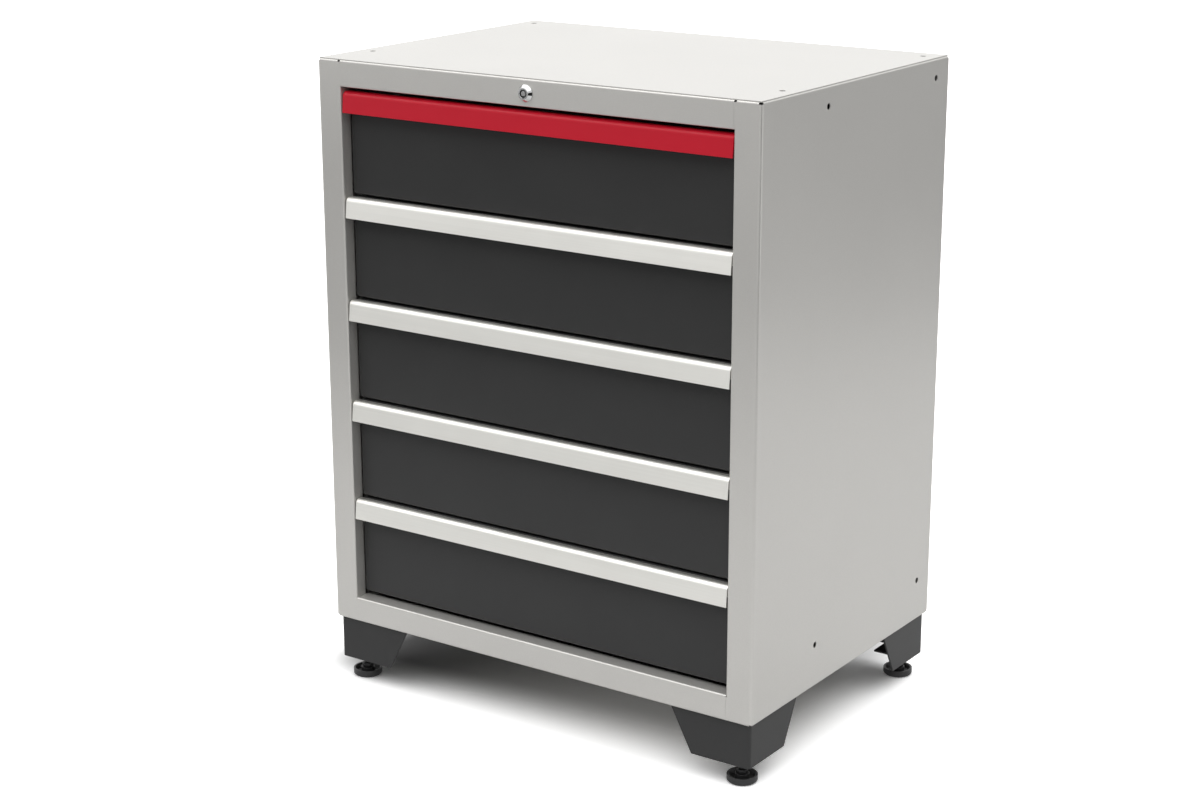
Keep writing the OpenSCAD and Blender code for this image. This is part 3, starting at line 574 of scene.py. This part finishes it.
def fold_handle(low, high):
    """Folds one handle between the corners of its solid."""
    centre = (0.0, high.y, high.z - HANDLE_LEG / 2)
    handle = lay_plane(centre, (high.x - low.x, 1.0, HANDLE_LEG), FACING_BACK)
    fold_y = low.y + HANDLE_LEAN
    lip_turn = math.pi / 2 - math.atan2(HANDLE_LEAN, HANDLE_LIP)
    open_mesh()
    pick("EDGE", lambda e: is_near(middle(e).z, high.z))
    pull(y=fold_y - high.y)
    pull(y=-HANDLE_LEAN, z=-HANDLE_LIP)
    pick("EDGE", lambda e: is_near(middle(e).z, high.z) and is_near(middle(e).y, high.y))
    bpy.ops.mesh.bevel(offset=HANDLE_BEND, segments=5, affect="EDGES")
    pick("EDGE", lambda e: is_near(middle(e).z, high.z) and is_near(middle(e).y, fold_y))
    bpy.ops.mesh.bevel(offset=HANDLE_ROUND * math.tan(lip_turn / 2), segments=10, affect="EDGES")
    close_mesh()
    refine(handle, "SOLIDIFY", thickness=HANDLE_WALL, offset=-1.0, use_even_offset=True)
    ease_edges(handle, HANDLE_EASE)
    true_faces(handle)
    return handle


first_handle = fold_handle(*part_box("drawer_1_handle"))
print("handle", len(first_handle.data.polygons), "faces")

# %% [markdown]
# ## One handle for each drawer
# All five handles are cut from one profile, so the first one is copied. Linked copies would save memory, but
# each drawer moves by itself and its handle is a piece of its own, so every copy gets its own mesh, with its
# height moved inside the mesh. Only the first handle is red.

# %% One handle for each drawer
DRAWERS = 5


def copy_moved(piece, shift):
    """A copy of a piece, with its own mesh, whose place is moved inside the mesh."""
    take(piece)
    bpy.ops.object.duplicate()
    bpy.ops.transform.translate(value=shift)
    settle()
    return bpy.context.object


def for_each_drawer(first, kind):
    """The first drawer's piece, and its copies in the other drawers."""
    tops = [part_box(f"drawer_{n}_{kind}")[1].z for n in range(1, DRAWERS + 1)]
    return [first] + [copy_moved(first, (0.0, 0.0, top - tops[0])) for top in tops[1:]]


for n, handle in enumerate(for_each_drawer(first_handle, "handle"), start=1):
    coat, slot = (red, "red_coat") if n == 1 else (satin, "satin_aluminium")
    hand_over(handle, f"pull_handle_{n}", coat, slot, f"drawer_{n}", f"drawer_{n}_handle")

# %% [markdown]
# ## The lock
# A tubular lock has a turned, tapered ring and a round key slot around a centre post, with a notch in which
# the key's tooth sits. On a lathe it would be turned from bar, and a cylinder that is extruded, narrowed and
# inset step by step follows the same cuts. The notch is milled afterwards, so it is a Boolean with a small
# block.

# %% Turning and milling
BEZEL_RIM, LOCK_PROUD, LOCK_EASE = 1.2 * MM, 5.5 * MM, 0.25 * MM
KEY_DEPTH, NOTCH, LOCK_SIDES = 9.0 * MM, 1.8 * MM, 96
SQUARE_ON = 0.9
FRONT_Y = lock_low.y + LOCK_PROUD
LOCK_FACE_Y = FRONT_Y - LOCK_PROUD


def turned_blank(radius, y0, y1):
    """A disc or bar on the lock's axis, from y0 to y1."""
    begin()
    bpy.ops.mesh.primitive_cylinder_add(
        vertices=LOCK_SIDES, radius=radius, depth=y1 - y0, location=(0.0, (y0 + y1) / 2, LOCK_Z),
        rotation=UPRIGHT,
    )
    settle()
    return bpy.context.object


def cap_at(y):
    """Picks the flat end at y."""
    pick("FACE", lambda f: abs(f.normal.y) > SQUARE_ON and is_near(middle(f).y, y))


def narrow(factor, centre, keep):
    """Scales what is selected towards a centre, except along the axis to keep."""
    value = [1.0 if axis == keep else factor for axis in "xyz"]
    bpy.ops.transform.resize(value=value, center_override=centre)


def mill_notch(piece, z0, z1):
    """Cuts a slot for the key's tooth into the front of a piece, between two heights."""
    y0, y1 = LOCK_FACE_Y - MM, LOCK_FACE_Y + KEY_DEPTH / 2
    begin()
    bpy.ops.mesh.primitive_cube_add(size=1.0, location=(0.0, (y0 + y1) / 2, (z0 + z1) / 2))
    cutter = bpy.context.object
    bpy.ops.transform.resize(value=(NOTCH, y1 - y0, z1 - z0))
    settle()
    take(piece)
    refine(piece, "BOOLEAN", operation="DIFFERENCE", object=cutter, solver="EXACT")
    bpy.data.objects.remove(cutter)


print("lock face at", round(LOCK_FACE_Y, 4))

# %% [markdown]
# ## Lock body
# The body is the ring that shows, and the barrel behind it that goes through the rail. It starts as the thin
# rim of the bezel. The front is pulled out and narrowed to the taper, the back is pulled to the barrel, and
# the bore joins the two. A Boolean could drill the bore, but bridging two open rings keeps the skin clean.

# %% Lock body
BEZEL_R, LOCK_FACE_R = (lock_high.x - lock_low.x) / 2, 7.5 * MM
BARREL_R, BARREL_LEN = 9.0 * MM, 24.0 * MM

lock = turned_blank(BEZEL_R, FRONT_Y - BEZEL_RIM, FRONT_Y)
open_mesh()
cap_at(FRONT_Y - BEZEL_RIM)
pull(y=BEZEL_RIM - LOCK_PROUD)
narrow(LOCK_FACE_R / BEZEL_R, (0.0, FRONT_Y, LOCK_Z), "y")
bpy.ops.mesh.inset(thickness=LOCK_FACE_R - KEY_RING_R)
bpy.ops.mesh.delete(type="FACE")
cap_at(FRONT_Y)
bpy.ops.mesh.inset(thickness=BEZEL_R - BARREL_R)
pull(y=BARREL_LEN)
bpy.ops.mesh.inset(thickness=BARREL_R - KEY_RING_R)
bpy.ops.mesh.delete(type="FACE")
pick("EDGE", lambda e: e.is_boundary)
bpy.ops.mesh.bridge_edge_loops()
close_mesh()
ease_edges(lock, LOCK_EASE, segments=3, angle=30.0)
mill_notch(lock, LOCK_Z - KEY_RING_R - NOTCH / 2, LOCK_Z - KEY_RING_R + NOTCH)
true_faces(lock)
hand_over(lock, "tubular_lock_ring", chrome, "chrome", "case", "lock_body")

# %% [markdown]
# ## Lock plug
# The plug turns in the body with the key. Only its centre post shows, a little behind the ring's face. It
# could be two cylinders, one in the other, but a post that is pulled out of the plug's end leaves a real
# shoulder at the bottom of the key slot.

# %% Lock plug
PLUG_R, POST_R, PLUG_SET = 5.1 * MM, 3.5 * MM, 0.5 * MM
shoulder = LOCK_FACE_Y + KEY_DEPTH

plug = turned_blank(PLUG_R, shoulder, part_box("lock_plug")[1].y)
open_mesh()
cap_at(shoulder)
bpy.ops.mesh.inset(thickness=PLUG_R - POST_R)
pull(y=PLUG_SET - KEY_DEPTH)
close_mesh()
ease_edges(plug, LOCK_EASE, segments=3, angle=30.0)
mill_notch(plug, LOCK_Z - POST_R - NOTCH, LOCK_Z - POST_R + NOTCH / 2)
true_faces(plug)
hand_over(plug, "tubular_lock_plug", chrome, "chrome", "lock_turn", "lock_plug")

# %% [markdown]
# ## Levelling feet
# A foot is a moulded cup on a threaded stud. The cup could be revolved from a section in one step; here a
# disc is stepped inwards with insets, as the mould would be cut: chamfer, rim, sloping wall, hub and socket.
# It is modelled on the middle axis of the scene, and copied to the four corners once the stud is there too.

# %% Foot pad
PAD_R, PAD_WALL, PAD_RIM, PAD_FLOOR = 20.0 * MM, 2.5 * MM, 10.0 * MM, 4.0 * MM
HUB_R, HUB_H, SOCKET_R, SOCKET_Z = 9.5 * MM, 11.0 * MM, 5.1 * MM, 2.5 * MM
PAD_EASE, PAD_SIDES = 0.5 * MM, 80
AXIS = (0.0, 0.0, 0.0)


def upright_bar(radius, z0, z1, sides):
    """A round or many-sided bar that stands on the middle axis."""
    begin()
    bpy.ops.mesh.primitive_cylinder_add(
        vertices=sides, radius=radius, depth=z1 - z0, location=(0.0, 0.0, (z0 + z1) / 2)
    )
    settle()
    return bpy.context.object


def level_at(z):
    """Picks the level face at z."""
    pick("FACE", lambda f: abs(f.normal.z) > SQUARE_ON and is_near(middle(f).z, z))


pad = upright_bar(PAD_R, PAD_WALL, PAD_RIM, PAD_SIDES)
open_mesh()
level_at(PAD_WALL)
pull(z=-PAD_WALL)
narrow((PAD_R - PAD_WALL) / PAD_R, AXIS, "z")
level_at(PAD_RIM)
bpy.ops.mesh.inset(thickness=PAD_WALL)
pull(z=PAD_FLOOR - PAD_RIM)
narrow((PAD_R - 2 * PAD_WALL) / (PAD_R - PAD_WALL), AXIS, "z")
bpy.ops.mesh.inset(thickness=PAD_R - 2 * PAD_WALL - HUB_R)
pull(z=HUB_H - PAD_FLOOR)
bpy.ops.mesh.inset(thickness=HUB_R - SOCKET_R)
pull(z=SOCKET_Z - HUB_H)
close_mesh()
ease_edges(pad, PAD_EASE, segments=3, angle=30.0)
true_faces(pad)
print("pad", len(pad.data.polygons), "faces")

# %% [markdown]
# ## Threaded studs
# The stud is a rod with a hexagon for the spanner. A bump map could hint at the thread, but its edge would
# stay straight, so one small tooth is carried up the rod by the Screw modifier, a pitch at each turn, and its
# ends are closed. The rod, the hexagon and the thread are then joined.

# %% Rod and hexagon
STUD_R, THREAD_DEPTH, STUD_LOW, STUD_HIGH = 5.0 * MM, 0.8 * MM, 2.5 * MM, 66.5 * MM
HEX_LOW, HEX_HIGH, HEX_W = 11.0 * MM, 17.0 * MM, 14.0 * MM
ROD_EASE, HEX_EASE, ROD_SIDES = 0.8 * MM, 0.6 * MM, 40

rod = upright_bar(STUD_R - THREAD_DEPTH, STUD_LOW, STUD_HIGH, ROD_SIDES)
ease_edges(rod, ROD_EASE, segments=1, angle=60.0)
collar = upright_bar(HEX_W / 2 / math.cos(math.pi / 6), HEX_LOW, HEX_HIGH, sides=6)
ease_edges(collar, HEX_EASE, segments=3, angle=30.0)
print("rod", len(rod.data.polygons), "faces, hexagon", len(collar.data.polygons), "faces")

# %% Thread
THREAD_PITCH, THREAD_TURNS, THREAD_STEPS = 1.5 * MM, 31, 20
TOOTH, THREAD_START = 0.9 * THREAD_PITCH, HEX_HIGH + 0.8 * MM

thread = lay_plane((STUD_R - THREAD_DEPTH / 2, 0.0, THREAD_START), (THREAD_DEPTH, 1.0, TOOTH), UPRIGHT)
open_mesh()
pick("EDGE", lambda e: is_near(middle(e).x, STUD_R))
bpy.ops.mesh.merge(type="CENTER")
pick("FACE", lambda face: True)
bpy.ops.mesh.delete(type="ONLY_FACE")
close_mesh()
refine(
    thread, "SCREW", axis="Z", angle=2 * math.pi, screw_offset=THREAD_PITCH, iterations=THREAD_TURNS,
    steps=THREAD_STEPS, render_steps=THREAD_STEPS, use_normal_calculate=True,
)
open_mesh()
for end in (min, max):
    tip = end(v.co.z for v in thread.data.vertices)
    pick("EDGE", lambda e: e.is_boundary and abs(middle(e).z - tip) < THREAD_PITCH)
    bpy.ops.mesh.edge_face_add()
face_outwards()
close_mesh()
stud = join(rod, collar, thread)
print("stud", len(stud.data.polygons), "faces")

# %% [markdown]
# ## Feet at the four corners
# Each leg has its own foot, which screws up and down by itself. Cup and stud could be one piece, but they are
# made of different stuff and have different finishes, so each is copied to the axis of its solid.

# %% Feet at the four corners
for corner in ("front_left", "front_right", "rear_left", "rear_right"):
    foot = f"{corner}_foot"
    low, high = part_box(f"{foot}_stud")
    shift = ((low.x + high.x) / 2, (low.y + high.y) / 2, 0.0)
    cup = copy_moved(pad, shift)
    hand_over(cup, f"foot_cup_{corner}", plastic, "black_plastic", foot, f"{foot}_pad")
    screw = copy_moved(stud, shift)
    hand_over(screw, f"threaded_stud_{corner}", black_zinc, "zinc_steel", foot, f"{foot}_stud")
bpy.data.objects.remove(pad)
bpy.data.objects.remove(stud)

# %% [markdown]
# ## Ribbed mats
# A drawer mat is a moulded rubber sheet with ribs across the drawer, which keep tools from sliding. The ribs
# could be bump alone, but they show at the mat's edge. One rib is a strip that is pulled on edge by edge:
# foot, rise, crown, fall and the next foot. The Array modifier repeats it along the drawer, and the outer
# edge is then pulled down to the drawer's floor and closed from below.

# %% Drawer mats
RIB_COUNT, RIB_RISE, RIB_SLOPE = 84, 1.0 * MM, 0.5 * MM
RIB_WELD = 0.01 * MM


def roll_mat(low, high):
    """Makes one mat between the corners of its solid."""
    pitch = (high.y - low.y) / RIB_COUNT
    flat = (pitch - 2 * RIB_SLOPE) / 4
    mat = lay_plane((0.0, low.y + flat / 2, high.z - RIB_RISE), (high.x - low.x, flat, 1.0))
    open_mesh()
    pick("EDGE", lambda e: is_near(middle(e).y, low.y + flat))
    pull(y=RIB_SLOPE, z=RIB_RISE)
    pull(y=2 * flat)
    pull(y=RIB_SLOPE, z=-RIB_RISE)
    pull(y=flat)
    close_mesh()
    refine(
        mat, "ARRAY", count=RIB_COUNT, use_relative_offset=False, use_constant_offset=True,
        constant_offset_displace=(0.0, pitch, 0.0), use_merge_vertices=True, merge_threshold=RIB_WELD,
    )
    open_mesh()
    pick("EDGE", lambda e: e.is_boundary)
    pull(z=low.z - high.z)
    bpy.ops.transform.resize(value=(1.0, 1.0, 0.0), center_override=(0.0, 0.0, low.z))
    bpy.ops.mesh.edge_face_add()
    face_outwards()
    close_mesh()
    return mat


first_mat = roll_mat(*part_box("drawer_1_liner"))
for n, mat in enumerate(for_each_drawer(first_mat, "liner"), start=1):
    hand_over(mat, f"ribbed_mat_{n}", rubber, "rubber_mat", f"drawer_{n}", f"drawer_{n}_liner")

# %% [markdown]
# ## Camera
# The camera stands where the photograph was taken from. It could be moved by eye until the edges agree; here
# its place, turn and focal length were worked out from the corners of the case, so that a render and the
# photograph can be laid over each other.

# %% Camera
CAMERA_PLACE, CAMERA_TURN = (1.6934, -2.5281, 1.2835), (73.827, 0.093, 34.617)
FOCAL_PX, FRAME_PX, SENSOR_MM = 2322.9, 1200, 36.0

begin()
bpy.ops.object.camera_add(location=CAMERA_PLACE, rotation=[math.radians(turn) for turn in CAMERA_TURN])
camera = bpy.context.object
camera.name = "photo_camera"
camera.data.sensor_width = SENSOR_MM
camera.data.lens = FOCAL_PX / FRAME_PX * SENSOR_MM
bpy.context.scene.camera = camera
print("lens", round(camera.data.lens, 2), "mm")

# %% [markdown]
# ## The floor
# The cabinet stands on white paper, and its shadow fades into the white. Paper that bright would throw so
# much light back that the lower case turned pale, so each kind of ray meets its own sheet. The camera sees
# matt paper with the real shadows, and under the case a painted shadow as well: there the paper itself is
# darker, and darker still at its left end. Mirrors and glass see matt paper of an everyday white. Rays that
# only gather light meet a soft glow, which has a pool near the front right corner and is missing under the
# case.

# %% Places on the floor
FLOOR_SIZE = 80.0
# The painted shadow under the case: a rectangle about this middle, sheared by x, that fades between these
# reaches.
SHADE_MIDDLE, SHADE_LEAN = (-0.054, 0.105, 0.0), 0.12
SHADE_ACROSS, SHADE_ALONG, SHADE_SIDEWAYS = (0.280, 0.380), (0.205, 0.325), (-0.34, 0.10)
POOL, POOL_REACH = (0.35, -0.35, 0.0), (0.3, 1.7)
GLOW_NEAR, GLOW_FAR = 0.62, 0.03


def fade(start, value, near, far, first=1.0, last=0.0):
    """Goes smoothly from first, where the value is near, to last, where it is far."""
    limits = {"Value": value, "From Min": near, "From Max": far, "To Min": first, "To Max": last}
    return start.node("ShaderNodeMapRange", {"interpolation_type": "SMOOTHSTEP"}, limits)


paper, start = new_finish("pale_paper_floor")
place = own_place(start)
sideways = start.node("ShaderNodeSeparateXYZ", None, {"Vector": place}, out="X")
from_middle = start.node("ShaderNodeVectorMath", {"operation": "SUBTRACT"}, {0: place, 1: SHADE_MIDDLE})
spread = start.node("ShaderNodeVectorMath", {"operation": "ABSOLUTE"}, {0: from_middle})
across = start.node("ShaderNodeSeparateXYZ", None, {"Vector": spread}, out="X")
along = start.node("ShaderNodeSeparateXYZ", None, {"Vector": spread}, out="Y") + SHADE_LEAN * sideways
open_floor = 1.0 - fade(start, across, *SHADE_ACROSS) * fade(start, along, *SHADE_ALONG)
from_pool = start.node("ShaderNodeVectorMath", {"operation": "DISTANCE"}, {0: place, 1: POOL}, out="Value")
glow = fade(start, from_pool, *POOL_REACH, GLOW_NEAR, GLOW_FAR) * open_floor
print(paper.name, "has its shade and its glow")

# %% [markdown]
# ## Sheets of the floor
# A lamp in the floor alone would show no shadow, and paper alone would light too much. The Light Path node
# knows what a ray is for, so both can lie in the same place, and every ray meets the one that it needs.

# %% Sheets of the floor
# EYE_SHADE and EYE_SHADE_LEFT are the darker papers of the painted shadow under the case.
EYE_WHITE, EYE_SHADE, EYE_SHADE_LEFT, MIRROR_WHITE = 1.5, 0.74, 0.11, 0.77


def ray_is(start, *kinds):
    """1 for a ray of one of these kinds, and 0 for any other."""
    found = 0.0
    for kind in kinds:
        found = start.math("MAXIMUM", found, start.node("ShaderNodeLightPath", out=f"Is {kind} Ray"))
    return found


def sheet(start, white):
    """Matt paper of one white."""
    return start.node("ShaderNodeBsdfDiffuse", None, {"Color": (white, white, white, 1.0)})


def lamp(start, strength):
    """A surface that only shines."""
    return start.node("ShaderNodeEmission", None, {"Strength": strength})


def layer(start, factor, below, above):
    """One surface over another; the factor says how much of the upper one is there."""
    return start.node("ShaderNodeMixShader", None, {0: factor, 1: below, 2: above})


# Painted shadow: under the case the camera's paper is darker, and darker still at the left end, over the real
# shadows.
left_end = fade(start, sideways, *SHADE_SIDEWAYS)
painted_shadow_paper = layer(start, left_end, sheet(start, EYE_SHADE), sheet(start, EYE_SHADE_LEFT))
for_eye = layer(start, open_floor, painted_shadow_paper, sheet(start, EYE_WHITE))
for_light = layer(start, glow, lamp(start, 0.0), lamp(start, 1.0))
for_mirrors = sheet(start, MIRROR_WHITE)
unseen = layer(start, ray_is(start, "Glossy", "Transmission"), for_light, for_mirrors)
surface = layer(start, ray_is(start, "Camera"), unseen, for_eye)
start.node("ShaderNodeOutputMaterial", None, {"Surface": surface})

begin()
bpy.ops.mesh.primitive_plane_add(size=FLOOR_SIZE)
floor = bpy.context.object
floor.name = "studio_floor"
floor.data.materials.append(paper)
print(floor.name, len(paper.node_tree.nodes), "nodes")

# %% [markdown]
# ## Cards for the metal
# A half metallic coat looks like what stands around it, so a photographer puts cards beside it. Moving the
# lamps could change the reflections too, but it would move the shadows with them. These cards are seen by
# mirrors only and cast no shadow. The front card and the side card are grey, and tone down what those two
# faces mirror. The corner card does so for the bend between them, and the dark card draws a black band
# across the lock.

# %% Cards
def stand_card(name, centre, turn, width, height, shade):
    """An upright card that only mirrors see."""
    begin()
    facing = (math.pi / 2, 0.0, math.radians(turn))
    bpy.ops.mesh.primitive_plane_add(size=1.0, location=centre, rotation=facing)
    card = bpy.context.object
    card.name = name
    card.scale = (width, height, 1.0)
    settle()
    felt, start = new_finish(name + "_felt")
    start.node("ShaderNodeOutputMaterial", None, {"Surface": lamp(start, shade)})
    card.data.materials.append(felt)
    card.visible_camera = False
    card.visible_diffuse = False
    card.visible_shadow = False
    print(name, "with a shade of", shade)


stand_card("dark_card", centre=(1.45, -0.79, 0.61), turn=69.0, width=0.75, height=1.0, shade=0.004)
stand_card("corner_card", centre=(1.0, -1.5, 0.33), turn=34.0, width=3.2, height=0.66, shade=0.55)
stand_card("front_card", centre=(-1.05, -1.45, 0.32), turn=-30.5, width=2.0, height=0.64, shade=0.44)
stand_card("side_card", centre=(1.35, 2.0, 0.65), turn=120.3, width=1.8, height=1.3, shade=0.50)

# %% [markdown]
# ## Light
# A product like this is lit by a large softbox overhead. An area lamp could stand in for it, but its light
# would fall off from the top to the feet. A sun that is opened very wide lights all heights alike and has
# shadows as soft. The world fills the rest: dim where it only brings light, and white for the eye, so that
# the background is white and metal has something to mirror.

# %% Light
SUN_PLACE, SUN_LIGHT, SUN_TILT, SUN_SPREAD = (0.0, -1.0, 4.0), 3.0, 4.0, 110.0
SKY_LIGHT, SKY_SEEN = 0.34, 1.0

begin()
bpy.ops.object.light_add(type="SUN", location=SUN_PLACE, rotation=(math.radians(SUN_TILT), 0.0, 0.0))
sun = bpy.context.object
sun.name = "overhead_softbox"
sun.data.energy = SUN_LIGHT
sun.data.angle = math.radians(SUN_SPREAD)

world = bpy.data.worlds.new("white_studio")
bpy.context.scene.world = world
world.use_nodes = True
world.node_tree.nodes.clear()
start = Wire(world.node_tree)
strength = SKY_LIGHT + (SKY_SEEN - SKY_LIGHT) * ray_is(start, "Camera", "Glossy", "Transmission")
sky = start.node("ShaderNodeBackground", None, {"Color": (1.0, 1.0, 1.0, 1.0), "Strength": strength})
start.node("ShaderNodeOutputWorld", None, {"Surface": sky})
bpy.context.scene.view_settings.view_transform = "Standard"
print(sun.name, "and", world.name)

# %% [markdown]
# ## Updating the scene
# The pieces that were made by hand should fill the same box as the solids that they stand for. The scene is
# brought up to date once more, so that every piece stands where it was put.

# %% Finish
bpy.context.view_layer.update()
